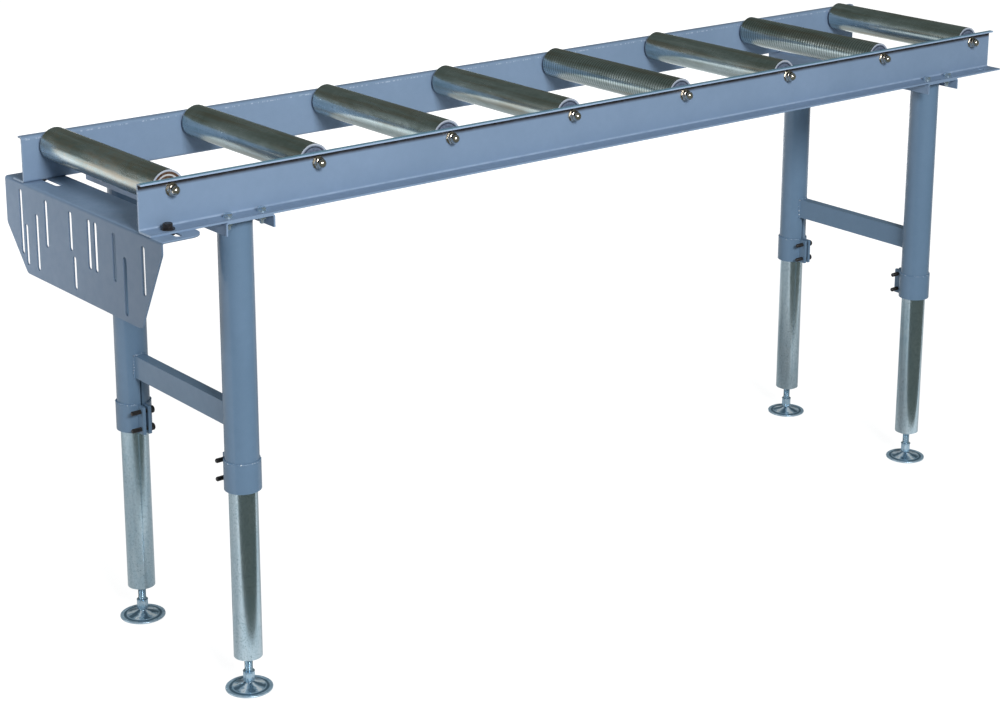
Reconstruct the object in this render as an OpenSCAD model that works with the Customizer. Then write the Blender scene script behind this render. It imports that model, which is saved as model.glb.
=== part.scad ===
// Roller conveyor: two folded rails carry eight free-turning rollers on four telescopic
// legs with levelling feet. An adapter bracket at the left end bolts it to a machine.
// X runs along the rails, Y across them from front to rear, and Z is up from the floor.

/* [Rails] */
// Length of each side rail
rail_length = 2000; // [1700:10:3000]
// Height of a rail
rail_height = 78; // [78:1:100]
// Thickness of the folded sheet
sheet_t = 3; // [2:0.5:3]
// Distance between the outer faces of the two webs
frame_width = 380; // [340:5:500]
// Reach of the bottom flange beyond the web
bottom_flange = 34; // [30:1:45]
// Reach of the top lip beyond the web
top_lip = 10; // [8:1:20]
// Inside radius of every fold
fold_r = 2; // [1:0.5:2.5]
// Height of the rails' underside above the floor
underside_height = 826; // [800:1:860]

/* [Rollers] */
// Number of rollers
roller_count = 8; // [4:1:10]
// Outer diameter of a roller
roller_d = 57; // [54:1:62]
// Wall of the roller tube
roller_wall = 3; // [2:0.5:3]
// Gap between a roller's end and the web
roller_end_gap = 7; // [3:0.5:12]
// Distance from a rail's end to the nearest roller axis
end_margin = 58; // [50:1:70]
// Height of the roller axes above the rails' underside
axle_height = 60; // [58:0.5:61.5]

/* [Bearings] */
// Outer diameter of a roller bearing
bearing_od = 35; // [34:0.5:37]
// Width of a roller bearing
bearing_w = 11; // [10:0.5:12]
// Diameter of a bearing ball
ball_d = 6; // [5.6:0.1:6.2]
// Balls in a bearing
ball_count = 8; // [6:1:9]

/* [Axles] */
// Diameter of an axle between the webs
axle_d = 15; // [14:0.5:15.5]
// Diameter of an axle's threaded ends
axle_thread_d = 10; // [8:0.5:11]
// Width of an axle's cap nut across its flats
axle_nut_af = 17; // [17:0.5:19]
// Height of the cap nut's hexagon
axle_nut_hex_h = 8; // [6:0.5:9.5]
// Height of the cap nut with its dome
axle_nut_h = 18; // [17.5:0.5:20]
// Diameter of the cap nut's dome
axle_dome_d = 16; // [14:0.5:16]
// Diameter of the axle washer
axle_washer_d = 21; // [20:0.5:23]
// Thickness of the axle washer
axle_washer_t = 2; // [1.5:0.5:3]

/* [Legs] */
// Distance from a rail's end to the leg axes
leg_inset = 178; // [150:1:400]
// Distance from a web's outer face in to the leg axes
leg_set_in = 14; // [8:0.5:30]
// Outer diameter of a leg tube
leg_tube_d = 57; // [54:0.5:60]
// Wall of a leg tube
leg_tube_wall = 4; // [3:0.5:5]
// Length of a leg tube
leg_tube_length = 462; // [440:1:480]
// Width of the clamping slit in a leg tube
slit_w = 3; // [2:0.5:4]
// Length of the clamping slit
slit_length = 94; // [60:1:94]
// Radial play of the inner tube in the leg tube
slide_clear = 0.35; // [0.2:0.05:0.5]
// Wall of the inner tube
inner_tube_wall = 2.9; // [2:0.1:4]
// Length of an inner tube
inner_tube_length = 420; // [380:5:450]

/* [Crossbeams] */
// Width of a crossbeam along the rails
beam_width = 90; // [86:1:100]
// Depth of a crossbeam with its flanges
beam_depth = 22; // [18:1:30]
// Height of a brace section
brace_h = 40; // [30:1:45]
// Width of a brace section
brace_w = 20; // [16:1:30]
// Wall of a brace section
brace_wall = 2; // [1.5:0.5:3]
// Drop from the rails' underside to the brace's top
brace_drop = 326; // [250:1:326]

/* [Clamp collars] */
// Height of a clamp collar
collar_h = 50; // [46:1:60]
// Wall of a clamp collar
collar_wall = 2.5; // [2:0.5:5]
// Reach of the collar beyond the leg tube's lower end
collar_lip = 2; // [1:0.5:4]
// Thickness of a collar ear
ear_t = 6; // [4:0.5:8]
// Reach of the ears beyond the collar
ear_reach = 15; // [13:0.5:20]
// Gap between the two ears
ear_gap = 5; // [4:0.5:8]
// Distance between the two clamp screws
clamp_pitch = 32; // [26:1:34]
// Length of a clamp screw under its head
clamp_screw_length = 35; // [28:1:45]

/* [Feet] */
// Gap between an inner tube's end and the floor
foot_gap = 60; // [56:1:80]
// Diameter of a levelling foot's spindle
spindle_d = 14; // [12:0.5:16]
// Length of the spindle's thread
spindle_length = 95; // [70:1:110]
// Width of the spindle's hexagon across its flats
spindle_af = 17; // [16:0.5:20]
// Height of the spindle's hexagon
spindle_hex_h = 19; // [14:0.5:19.5]
// Diameter of a foot pad
pad_d = 80; // [70:1:100]
// Width of the pad's flat rim
pad_rim = 9; // [6:0.5:12]
// Thickness of the pad's sheet
pad_t = 2.5; // [2:0.25:3]
// Diameter of the ball under the spindle
pad_ball_d = 12; // [11.5:0.25:12.5]
// Length of the threaded insert inside the tube
insert_length = 25; // [15:1:40]

/* [End bracket] */
// Reach of the end bracket beyond each web
bracket_reach = 65; // [58:1:120]
// Depth of its top plate along the rails
bracket_depth = 78; // [70:1:90]
// Drop of its slotted plate
bracket_drop = 155; // [140:1:200]
// Width of the vertical slots
slot_w = 11; // [8:0.5:12]
// Width of the two slots in the top plate
adjust_slot_w = 12; // [11:0.5:14]
// Length of the two slots in the top plate
adjust_slot_length = 105; // [70:1:110]

/* [Fasteners] */
// Thread diameter of the crossbeam bolts
frame_bolt_d = 8; // [6:0.5:8]
// Distance between the two bolts of a crossbeam end
frame_bolt_pitch = 62; // [60:1:66]
// Width of the crossbeam bolts' heads across their flats
frame_bolt_af = 13; // [12:0.5:13]
// Thread diameter of the bracket bolts
bracket_bolt_d = 10; // [8:0.5:10]
// Distance from a rail's end to the bracket bolt holes
bracket_bolt_inset = 40; // [35:1:46]
// Width of the bracket bolts' heads across their flats
bracket_bolt_af = 15; // [14:0.5:17]
// Thread diameter of the clamp screws
clamp_screw_d = 8; // [6:0.5:8]

/* [Hidden] */
$fn = 48;
// Overrun of every cut beyond the face that it opens
cut = 2;
// Play between parts that are pressed, threaded or welded together
seat_clear = 0.02;
// Radial play of a ball in its race, of a thread and of the foot's ball
run_clear = 0.05;
// Radial play of a bolt in a drilled hole
hole_clear = 0.5;
// Depth of a hexagon's chamfer and width of its round face, as shares of the width across flats
hex_chamfer_share = 0.08;
hex_face_share = 0.92;

CORNERS = ["front_left", "rear_left", "front_right", "rear_right"];
SIDES = ["left", "right"];

PAINT = "lightsteelblue";
ZINC = "silver";
BLACK = "dimgray";

// Rails and rollers
rail_end = rail_length / 2;
web_out = frame_width / 2;
web_in = web_out - sheet_t;
fold_out = fold_r + sheet_t;
roller_pitch = (rail_length - 2 * end_margin) / (roller_count - 1);
axle_z = underside_height + axle_height;
roller_length = frame_width - 2 * sheet_t - 2 * roller_end_gap;
function roller_x(i) = -rail_end + end_margin + i * roller_pitch;

// Bearing, measured inwards from the roller's end
bearing_inset = 1.5;
cup_wall = 2;
race_shoulder = 2.6;
shield_t = 0.8;
shield_gap = 0.3;
ball_circle_r = (bearing_od + axle_d) / 4;
race_r = ball_d / 2 + run_clear;
cup_r = roller_d / 2 - roller_wall - seat_clear;
seat_r = bearing_od / 2 + seat_clear;
cup_lip = 1.5;
cup_depth = bearing_inset + bearing_w + cup_lip;

// Axle ends
axle_hole_r = axle_thread_d / 2 + hole_clear / 2;
dome_wall = 5;
axle_end_gap = 1;
nut_bore_depth = axle_nut_h - dome_wall;
end_chamfer = 1.5;

// Legs and crossbeams
leg_x = rail_end - leg_inset;
leg_y = web_out - leg_set_in;
leg_top = underside_height - sheet_t;
leg_bottom = leg_top - leg_tube_length;
collar_bottom = leg_bottom - collar_lip;
collar_r = leg_tube_d / 2 + seat_clear;
ear_end = collar_r + collar_wall + ear_reach;
screw_y = ear_end - ear_reach / 2;
brace_z = underside_height - brace_drop - brace_h;
inner_tube_r = leg_tube_d / 2 - leg_tube_wall - slide_clear;
insert_r = inner_tube_r - inner_tube_wall - seat_clear;
insert_nose_r = 18;
insert_nose_h = 3;

// Levelling feet
ball_z = 7;
neck_r = 3.5;
boss_r = 8.5;
boss_top = 10.5;
boss_clear = 2;
pad_hollow_r = 12;
hex_z = boss_top + boss_clear;
spindle_z = hex_z + spindle_hex_h;

// Bolted flanges
flange_y = web_out + bottom_flange / 2;
flange_z = underside_height + sheet_t;
washer_t = 1.6;
washer_margin = 1.5;
frame_head_h = 5.3;
frame_nut_h = 6.5;
frame_bolt_proud = 8;
bolt_flange_r = 11;
bolt_flange_t = 2;
bolt_head_h = 10;
bracket_nut_h = 10;
bracket_bolt_proud = 4;
bracket_bolt_x = -rail_end + bracket_bolt_inset;
clamp_head_r = 6.5;
clamp_head_h = 8;
clamp_key_af = 6;
clamp_key_depth = 4;
clamp_screw_zs = [for (s = [-1, 1]) collar_bottom + collar_h / 2 + s * clamp_pitch / 2];

// End bracket: the slotted plate's outline and slots
bracket_width = frame_width + 2 * bracket_reach;
plate_rear_straight = 80;
plate_rear_taper = 65;
plate_front_straight = 21;
plate_front_taper = 70;
plate_round = 12;
top_round = 25;
plate_outline = [
    [bracket_width / 2, cut],
    [bracket_width / 2, -plate_rear_straight],
    [bracket_width / 2 - plate_rear_taper, -bracket_drop],
    [-bracket_width / 2 + plate_front_taper, -bracket_drop],
    [-bracket_width / 2, -plate_front_straight],
    [-bracket_width / 2, cut]
];
// Each slot's middle across the width, then its top and its length down the drop
slot_shares = [
    [0.398, 0.08, 0.72], [0.366, 0.445, 0.46], [0.292, 0.285, 0.625], [0.226, 0.085, 0.52],
    [0.064, 0.09, 0.425], [0.046, 0.56, 0.36], [-0.054, 0.09, 0.535], [-0.096, 0.09, 0.535],
    [-0.212, 0.115, 0.515], [-0.276, 0.32, 0.62], [-0.388, 0.12, 0.515]
];

// Corner helpers: the signs that a corner's place takes along X and Y
function side_x(i) = i < 2 ? -1 : 1;
function side_y(i) = i % 2 == 0 ? -1 : 1;
function unit(v) = v / norm(v);
// Points of the arc that rounds corner b between its neighbours a and c
function corner_arc(a, b, c, r, steps = 6) =
    let (
        u = unit(a - b),
        v = unit(c - b),
        half = acos(u * v) / 2,
        centre = b + unit(u + v) * r / sin(half),
        start = b + u * r / tan(half) - centre,
        turn = (180 - 2 * half) * (u.x * v.y - u.y * v.x > 0 ? -1 : 1)
    )
    [for (k = [0:steps]) let (t = turn * k / steps)
        centre + [start.x * cos(t) - start.y * sin(t), start.x * sin(t) + start.y * cos(t)]];
// The outline with every corner but the first and last rounded
function rounded(points, r) = concat(
    [points[0]],
    [for (k = [1:len(points) - 2]) each corner_arc(points[k - 1], points[k], points[k + 1], r)],
    [points[len(points) - 1]]
);

// A quarter of a folded sheet's bend, in the quadrant that the two signs give
module fold(sx, sy) {
    intersection() {
        difference() {
            circle(r = fold_out);
            circle(r = fold_r);
        }
        scale([sx, sy]) square(fold_out);
    }
}

// A tube or washer on Z
module ring(r_out, r_in, h) {
    difference() {
        cylinder(r = r_out, h = h);
        translate([0, 0, -cut]) cylinder(r = r_in, h = h + 2 * cut);
    }
}

// A hexagon prism with its corners chamfered at the top
module hex_body(af, h) {
    chamfer = af * hex_chamfer_share;
    intersection() {
        cylinder(d = af / cos(30), h = h, $fn = 6);
        union() {
            cylinder(d = af / cos(30), h = h - chamfer);
            translate([0, 0, h - chamfer])
                cylinder(d1 = af / cos(30), d2 = af * hex_face_share, h = chamfer);
        }
    }
}
// A rod on Z with a chamfered top end
module chamfered_rod(d, h) {
    cylinder(d = d, h = h - end_chamfer);
    translate([0, 0, h - end_chamfer]) cylinder(d1 = d, d2 = d - 2 * end_chamfer, h = end_chamfer);
}

// Puts a shape at each roller axis, turned so that its Z points out through the web
module at_axle_ends() {
    for (i = [0:roller_count - 1], s = [-1, 1])
        translate([roller_x(i), 0, axle_z]) rotate([-s * 90, 0, 0]) children();
}

// Puts a shape at each crossbeam bolt, on the rails' underside
module at_frame_bolts() {
    for (sx = [-1, 1], sy = [-1, 1], d = [-1, 1])
        translate([sx * leg_x + d * frame_bolt_pitch / 2, sy * flange_y, 0]) children();
}

// Section of a rail, from the web's inner face outwards
module rail_profile() {
    translate([0, fold_out]) square([sheet_t, rail_height - 2 * fold_out]);
    translate([fold_out, 0]) square([bottom_flange + sheet_t - fold_out, sheet_t]);
    translate([fold_out, rail_height - sheet_t])
        square([top_lip + sheet_t - fold_out, sheet_t]);
    translate([fold_out, fold_out]) fold(-1, -1);
    translate([fold_out, rail_height - fold_out]) fold(-1, 1);
}

// A side rail: side is -1 at the front and 1 at the rear
module rail(side) {
    color(PAINT) scale([1, side, 1]) difference() {
        translate([-rail_end, web_in, underside_height]) rotate([90, 0, 90])
            linear_extrude(rail_length) rail_profile();
        for (i = [0:roller_count - 1])
            translate([roller_x(i), web_out + cut, axle_z]) rotate([90, 0, 0])
                cylinder(r = axle_hole_r, h = sheet_t + 2 * cut);
        for (sx = [-1, 1], d = [-1, 1])
            translate([sx * leg_x + d * frame_bolt_pitch / 2, flange_y, underside_height - cut])
                cylinder(r = frame_bolt_d / 2 + hole_clear, h = sheet_t + 2 * cut);
        for (sx = [-1, 1])
            translate([sx * bracket_bolt_x, flange_y, underside_height - cut])
                cylinder(r = bracket_bolt_d / 2 + hole_clear, h = sheet_t + 2 * cut);
    }
}

// A slot with round ends that runs down from its top point
module down_slot(w, length) {
    translate([0, -w / 2]) circle(d = w);
    translate([0, w / 2 - length]) circle(d = w);
    translate([-w / 2, w / 2 - length]) square([w, length - w]);
}

// The bracket's folded section in X and Z, from its outer corner
module bracket_profile() {
    translate([fold_out, -sheet_t]) square([bracket_depth - fold_out, sheet_t]);
    translate([0, -bracket_drop]) square([sheet_t, bracket_drop - fold_out]);
    translate([fold_out, -fold_out]) fold(-1, 1);
}

module end_bracket() {
    color(PAINT) translate([-rail_end, 0, underside_height]) difference() {
        translate([0, bracket_width / 2, 0]) rotate([90, 0, 0])
            linear_extrude(bracket_width) bracket_profile();
        // Corners cut from the slotted plate
        translate([-cut, 0, 0]) rotate([90, 0, 90]) linear_extrude(sheet_t + 2 * cut)
            difference() {
                translate([-bracket_width / 2 - cut, -bracket_drop - cut])
                    square([bracket_width + 2 * cut, bracket_drop - fold_out + cut]);
                polygon(rounded(plate_outline, plate_round));
            }
        // Vertical slots
        translate([-cut, 0, 0]) rotate([90, 0, 90]) linear_extrude(sheet_t + 2 * cut)
            for (s = slot_shares)
                translate([s[0] * bracket_width, -s[1] * bracket_drop])
                    down_slot(slot_w, s[2] * bracket_drop);
        // Adjusting slots under the rails
        for (s = [-1, 1])
            translate([bracket_bolt_inset, s * web_out + adjust_slot_length / 2, -sheet_t - cut])
                linear_extrude(sheet_t + 2 * cut)
                    down_slot(adjust_slot_w, adjust_slot_length);
        // Rounded rear corners of the top plate
        for (s = [-1, 1])
            translate([bracket_depth - top_round, s * (bracket_width / 2 - top_round),
                       -sheet_t - cut])
                linear_extrude(sheet_t + 2 * cut) difference() {
                    scale([1, s]) square(top_round + cut);
                    circle(r = top_round);
                }
    }
}

// Inverted channel across the rails: side is -1 at the left end
module crossbeam(side) {
    beam_y = web_out + bottom_flange;
    color(PAINT) difference() {
        translate([side * leg_x, beam_y, underside_height]) rotate([90, 0, 0])
            linear_extrude(2 * beam_y) {
                translate([fold_out - beam_width / 2, -sheet_t])
                    square([beam_width - 2 * fold_out, sheet_t]);
                for (s = [-1, 1]) {
                    translate([s * (beam_width - sheet_t) / 2 - sheet_t / 2, -beam_depth])
                        square([sheet_t, beam_depth - fold_out]);
                    translate([s * (beam_width / 2 - fold_out), -fold_out]) fold(s, 1);
                }
            }
        translate([0, 0, underside_height - sheet_t - cut]) at_frame_bolts()
            cylinder(r = frame_bolt_d / 2 + hole_clear, h = sheet_t + 2 * cut);
    }
}

// Box section welded between the two leg tubes of a pair
module brace(side) {
    color(PAINT) difference() {
        translate([side * leg_x - brace_w / 2, -leg_y, brace_z])
            cube([brace_w, 2 * leg_y, brace_h]);
        translate([side * leg_x - brace_w / 2 + brace_wall, -leg_y - cut, brace_z + brace_wall])
            cube([brace_w - 2 * brace_wall, 2 * leg_y + 2 * cut, brace_h - 2 * brace_wall]);
        for (s = [-1, 1])
            translate([side * leg_x, s * leg_y, brace_z - cut])
                cylinder(r = leg_tube_d / 2 + seat_clear, h = brace_h + 2 * cut);
    }
}

// Stands a shape on a leg's axis, with its +Y towards the other leg of the pair
module at_leg(i) {
    translate([side_x(i) * leg_x, side_y(i) * leg_y, 0]) scale([1, -side_y(i), 1]) children();
}

// Upper tube of a leg, slit on its inner side at the clamp
module leg_tube(i) {
    color(PAINT) at_leg(i) difference() {
        translate([0, 0, leg_bottom]) ring(leg_tube_d / 2, leg_tube_d / 2 - leg_tube_wall,
                                           leg_tube_length);
        translate([-slit_w / 2, 0, leg_bottom - cut])
            cube([slit_w, leg_tube_d, slit_length + cut]);
    }
}

// Split ring with two ears that squeezes the leg tube onto the inner tube
module clamp_collar(i) {
    color(PAINT) at_leg(i) difference() {
        union() {
            translate([0, 0, collar_bottom]) ring(collar_r + collar_wall, collar_r, collar_h);
            for (s = [-1, 1])
                translate([s * (ear_gap + ear_t) / 2 - ear_t / 2, collar_r + collar_wall / 4,
                           collar_bottom])
                    cube([ear_t, ear_end - collar_r - collar_wall / 4, collar_h]);
        }
        translate([-ear_gap / 2, 0, collar_bottom - cut])
            cube([ear_gap, ear_end + cut, collar_h + 2 * cut]);
        // Clearance holes in the right ear and threaded holes in the left one
        for (z = clamp_screw_zs) {
            translate([0, screw_y, z]) rotate([0, 90, 0])
                cylinder(r = clamp_screw_d / 2 + hole_clear, h = ear_gap / 2 + ear_t + cut);
            translate([-ear_gap / 2 - ear_t - cut, screw_y, z]) rotate([0, 90, 0])
                cylinder(r = clamp_screw_d / 2 + run_clear, h = ear_t + 2 * cut);
        }
    }
}

// Socket head screws through the ears, with their heads on the right
module clamp_screws() {
    color(BLACK) for (i = [0:3], z = clamp_screw_zs)
        at_leg(i) translate([ear_gap / 2 + ear_t, screw_y, z]) difference() {
            union() {
                rotate([0, -90, 0]) chamfered_rod(clamp_screw_d, clamp_screw_length);
                rotate([0, 90, 0]) cylinder(r = clamp_head_r, h = clamp_head_h);
            }
            translate([clamp_head_h - clamp_key_depth, 0, 0]) rotate([0, 90, 0])
                cylinder(d = clamp_key_af / cos(30), h = clamp_key_depth + cut, $fn = 6);
        }
}

// Lower tube of a leg, which slides in the upper one
module inner_tube(i) {
    color(ZINC) at_leg(i) translate([0, 0, foot_gap])
        ring(inner_tube_r, inner_tube_r - inner_tube_wall, inner_tube_length);
}

// Threaded insert pressed into the inner tube's lower end
module foot_insert(i) {
    color(ZINC) at_leg(i) difference() {
        union() {
            translate([0, 0, foot_gap]) cylinder(r = insert_r, h = insert_length);
            translate([0, 0, foot_gap - insert_nose_h])
                cylinder(r = insert_nose_r, h = insert_nose_h);
        }
        translate([0, 0, foot_gap - insert_nose_h - cut])
            cylinder(r = spindle_d / 2 + run_clear, h = insert_length + insert_nose_h + 2 * cut);
    }
}

// Threaded spindle with its hexagon, and the ball that stands in the pad
module foot_spindle(i) {
    color(ZINC) at_leg(i) {
        translate([0, 0, ball_z]) sphere(d = pad_ball_d);
        translate([0, 0, ball_z]) cylinder(r = neck_r, h = hex_z - ball_z);
        translate([0, 0, hex_z]) hex_body(spindle_af, spindle_hex_h);
        translate([0, 0, spindle_z]) chamfered_rod(spindle_d, spindle_length);
    }
}

// Pressed foot pad: a flat rim, a cone up to the socket and a hollow underside
module foot_pad(i) {
    rim_in = pad_d / 2 - pad_rim;
    color(ZINC) at_leg(i) difference() {
        rotate_extrude() polygon([
            [0, 0], [pad_hollow_r, 0], [pad_hollow_r + pad_t, boss_top - 2 * pad_t],
            [rim_in - pad_t, 0], [pad_d / 2, 0], [pad_d / 2, pad_t], [rim_in, pad_t],
            [boss_r, boss_top], [0, boss_top]
        ]);
        translate([0, 0, ball_z]) sphere(r = pad_ball_d / 2 + run_clear);
    }
}

// Steel tube of a roller
module roller_tube(i) {
    color(ZINC) translate([roller_x(i), roller_length / 2, axle_z]) rotate([90, 0, 0])
        ring(roller_d / 2, roller_d / 2 - roller_wall, roller_length);
}

// Half section of an end cup, from the axis outwards and from the roller's end inwards
module cup_profile() {
    polygon([
        [seat_r, 0], [cup_r, 0], [cup_r, cup_depth], [cup_r - cup_wall, cup_depth],
        [cup_r - cup_wall, cup_wall], [seat_r + cup_wall, cup_wall],
        [seat_r + cup_wall, cup_depth], [seat_r - cup_lip, cup_depth],
        [seat_r - cup_lip, cup_depth - cup_lip], [seat_r, cup_depth - cup_lip]
    ]);
}

// Half section of a bearing's outer ring with its two shields
module outer_ring_profile() {
    inner_shoulder_r = axle_d / 2 + race_shoulder;
    difference() {
        translate([inner_shoulder_r + shield_gap, 0])
            square([bearing_od / 2 - inner_shoulder_r - shield_gap, bearing_w]);
        translate([0, shield_t])
            square([bearing_od / 2 - race_shoulder, bearing_w - 2 * shield_t]);
        translate([ball_circle_r, bearing_w / 2]) circle(r = race_r);
    }
}

// What turns inside a roller's two ends: pressed cups, outer rings and balls
module roller_ends(i) {
    color(ZINC) for (s = [-1, 1])
        translate([roller_x(i), s * roller_length / 2, axle_z]) rotate([s * 90, 0, 0]) {
            rotate_extrude() cup_profile();
            translate([0, 0, bearing_inset]) rotate_extrude() outer_ring_profile();
            for (k = [0:ball_count - 1])
                rotate([0, 0, k * 360 / ball_count])
                    translate([ball_circle_r, 0, bearing_inset + bearing_w / 2])
                        sphere(d = ball_d);
        }
}

// Axles with a shoulder at each web and a threaded end through it
module roller_axles() {
    color(ZINC) for (i = [0:roller_count - 1]) translate([roller_x(i), 0, axle_z]) {
        translate([0, web_in, 0]) rotate([90, 0, 0]) cylinder(d = axle_d, h = 2 * web_in);
        for (s = [-1, 1])
            translate([0, s * web_in, 0]) rotate([-s * 90, 0, 0])
                chamfered_rod(axle_thread_d,
                              sheet_t + axle_washer_t + nut_bore_depth - axle_end_gap);
    }
}

// Inner rings of the bearings, fixed on the axles
module bearing_inner_rings() {
    color(ZINC) at_axle_ends()
        translate([0, 0, roller_length / 2 - bearing_inset - bearing_w]) rotate_extrude()
            difference() {
                translate([axle_d / 2 + seat_clear, 0])
                    square([race_shoulder - seat_clear, bearing_w]);
                translate([ball_circle_r, bearing_w / 2]) circle(r = race_r);
            }
}

// Sleeves that hold the inner rings off the webs
module bearing_spacers() {
    color(ZINC) at_axle_ends()
        translate([0, 0, roller_length / 2 - bearing_inset])
            ring(axle_d / 2 + race_shoulder / 2, axle_d / 2 + seat_clear,
                 bearing_inset + roller_end_gap);
}

module axle_washers() {
    color(ZINC) at_axle_ends() translate([0, 0, web_out])
        ring(axle_washer_d / 2, axle_thread_d / 2 + run_clear, axle_washer_t);
}

// Half section of a cap nut's domed body with its blind threaded bore
module dome_profile() {
    difference() {
        union() {
            square([axle_dome_d / 2, axle_nut_h - axle_dome_d / 2]);
            intersection() {
                translate([0, axle_nut_h - axle_dome_d / 2]) circle(d = axle_dome_d);
                square([axle_dome_d / 2, axle_nut_h]);
            }
        }
        translate([0, -cut]) square([axle_thread_d / 2 + run_clear, nut_bore_depth + cut]);
    }
}

// Cap nuts on the axle ends; the hexagon's bore ends inside the domed body's wall
module axle_nuts() {
    color(ZINC) at_axle_ends() translate([0, 0, web_out + axle_washer_t]) {
        rotate_extrude() dome_profile();
        difference() {
            hex_body(axle_nut_af, axle_nut_hex_h);
            translate([0, 0, -cut])
                cylinder(r = (axle_thread_d + axle_dome_d) / 4, h = axle_nut_hex_h + 2 * cut);
        }
    }
}

module frame_bolts() {
    shank = washer_t + 2 * sheet_t + frame_nut_h + frame_bolt_proud;
    color(ZINC) translate([0, 0, flange_z + washer_t]) at_frame_bolts() {
        hex_body(frame_bolt_af, frame_head_h);
        rotate([180, 0, 0]) chamfered_rod(frame_bolt_d, shank);
    }
}

module frame_washers() {
    color(ZINC) translate([0, 0, flange_z]) at_frame_bolts()
        ring(frame_bolt_af / 2 + washer_margin, frame_bolt_d / 2 + run_clear, washer_t);
}

module frame_nuts() {
    color(ZINC) translate([0, 0, underside_height - sheet_t - frame_nut_h]) at_frame_bolts()
        difference() {
            hex_body(frame_bolt_af, frame_nut_h);
            translate([0, 0, -cut])
                cylinder(r = frame_bolt_d / 2 + run_clear, h = frame_nut_h + 2 * cut);
        }
}

// Flanged bolts that hold the bracket under the rails
module bracket_bolts() {
    shank = 2 * sheet_t + bracket_nut_h + bracket_bolt_proud;
    color(BLACK) for (s = [-1, 1]) translate([bracket_bolt_x, s * flange_y, flange_z]) {
        cylinder(r = bolt_flange_r, h = bolt_flange_t);
        hex_body(bracket_bolt_af, bolt_head_h);
        rotate([180, 0, 0]) chamfered_rod(bracket_bolt_d, shank);
    }
}

module bracket_nuts() {
    color(BLACK) for (s = [-1, 1])
        translate([bracket_bolt_x, s * flange_y, underside_height - sheet_t]) rotate([180, 0, 0])
            difference() {
                union() {
                    cylinder(r = bolt_flange_r, h = bolt_flange_t);
                    hex_body(bracket_bolt_af, bracket_nut_h);
                }
                translate([0, 0, -cut])
                    cylinder(r = bracket_bolt_d / 2 + run_clear, h = bracket_nut_h + 2 * cut);
            }
}

rail(-1);  // front_rail
rail(1);  // rear_rail
end_bracket();
crossbeam(-1);  // left_crossbeam
crossbeam(1);  // right_crossbeam
brace(-1);  // left_brace
brace(1);  // right_brace
for (i = [0:3]) {
    leg_tube(i);
    clamp_collar(i);
    inner_tube(i);
    foot_insert(i);
    foot_spindle(i);
    foot_pad(i);
}
for (i = [1:roller_count]) {
    roller_tube(i - 1);
    roller_ends(i - 1);
}
roller_axles();
bearing_inner_rings();
bearing_spacers();
axle_washers();
axle_nuts();
frame_bolts();
frame_washers();
frame_nuts();
bracket_bolts();
bracket_nuts();
clamp_screws();
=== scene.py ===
"""Looks of the roller conveyor: paint, plating, welds, threads, floor, light and camera."""

import math
import random

import bmesh
import bpy
from mathutils import Matrix, Vector

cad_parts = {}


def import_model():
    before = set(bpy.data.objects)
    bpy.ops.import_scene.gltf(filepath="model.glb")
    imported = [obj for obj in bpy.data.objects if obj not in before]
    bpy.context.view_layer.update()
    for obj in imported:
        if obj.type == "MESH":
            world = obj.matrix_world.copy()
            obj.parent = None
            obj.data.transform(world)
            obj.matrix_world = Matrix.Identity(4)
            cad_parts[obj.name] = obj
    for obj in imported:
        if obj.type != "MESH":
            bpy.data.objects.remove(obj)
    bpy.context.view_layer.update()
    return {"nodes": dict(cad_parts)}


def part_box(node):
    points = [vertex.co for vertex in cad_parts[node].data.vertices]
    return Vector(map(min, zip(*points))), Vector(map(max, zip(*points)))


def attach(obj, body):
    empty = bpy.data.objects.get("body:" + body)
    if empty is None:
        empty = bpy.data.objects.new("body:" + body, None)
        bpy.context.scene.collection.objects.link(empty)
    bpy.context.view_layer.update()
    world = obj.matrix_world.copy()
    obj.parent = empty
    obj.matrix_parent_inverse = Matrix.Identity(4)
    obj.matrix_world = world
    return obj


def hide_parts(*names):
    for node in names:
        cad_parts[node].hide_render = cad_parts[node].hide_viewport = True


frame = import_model()
scene = bpy.context.scene
scene.view_settings.view_transform = "Standard"
MM = 0.001
WHITE = (1, 1, 1, 1)
# The legs, each with the side of the table that it stands on along Y
CORNERS = {"front_left": -1, "rear_left": 1, "front_right": -1, "rear_right": 1}


# Colours are written as they look on screen, 0 to 255, and turned to linear light

def tone(r, g, b):
    out = []
    for v in (r, g, b):
        v /= 255.0
        out.append(v / 12.92 if v <= 0.04045 else ((v + 0.055) / 1.055) ** 2.4)
    return (*out, 1.0)


# Places and sizes in metres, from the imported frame

def middle(node):
    low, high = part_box(node)
    return tuple((a + b) / 2 for a, b in zip(low, high))


AXLES = [(middle(f"roller_tube_{i}")[0], middle(f"roller_tube_{i}")[2]) for i in range(1, 9)]
AXLE_PITCH = AXLES[1][0] - AXLES[0][0]
ROLLER_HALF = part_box("roller_tube_1")[1][1]
LEGS = {c: middle(f"{c}_leg_tube")[:2] for c in CORNERS}
RAIL_LOW, RAIL_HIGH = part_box("front_rail")
RAIL_END = RAIL_HIGH[0]
RAIL_TOP = RAIL_HIGH[2]
RAIL_UNDERSIDE = RAIL_LOW[2]
# The folded sheet and the lip that it turns outwards at the top
SHEET = 3 * MM
LIP = 10 * MM
WEB_OUT = SHEET - RAIL_HIGH[1]
LIP_OUT = WEB_OUT + LIP

# Ridges that run round two rollers: their pitch, and how deep they are at a share of the roller's
# length. The fifth roller's are faint at its front end, the seventh's are deepest in its middle.
RIDGE_PITCH = 6.7 * MM
RIDGED = {
    5: lambda share: 0.25 if share < 0.3 else 1.0,
    7: lambda share: 0.5 + 0.9 * math.exp(-((share - 0.5) / 0.3) ** 2),
}


# Node tree helpers

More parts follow.
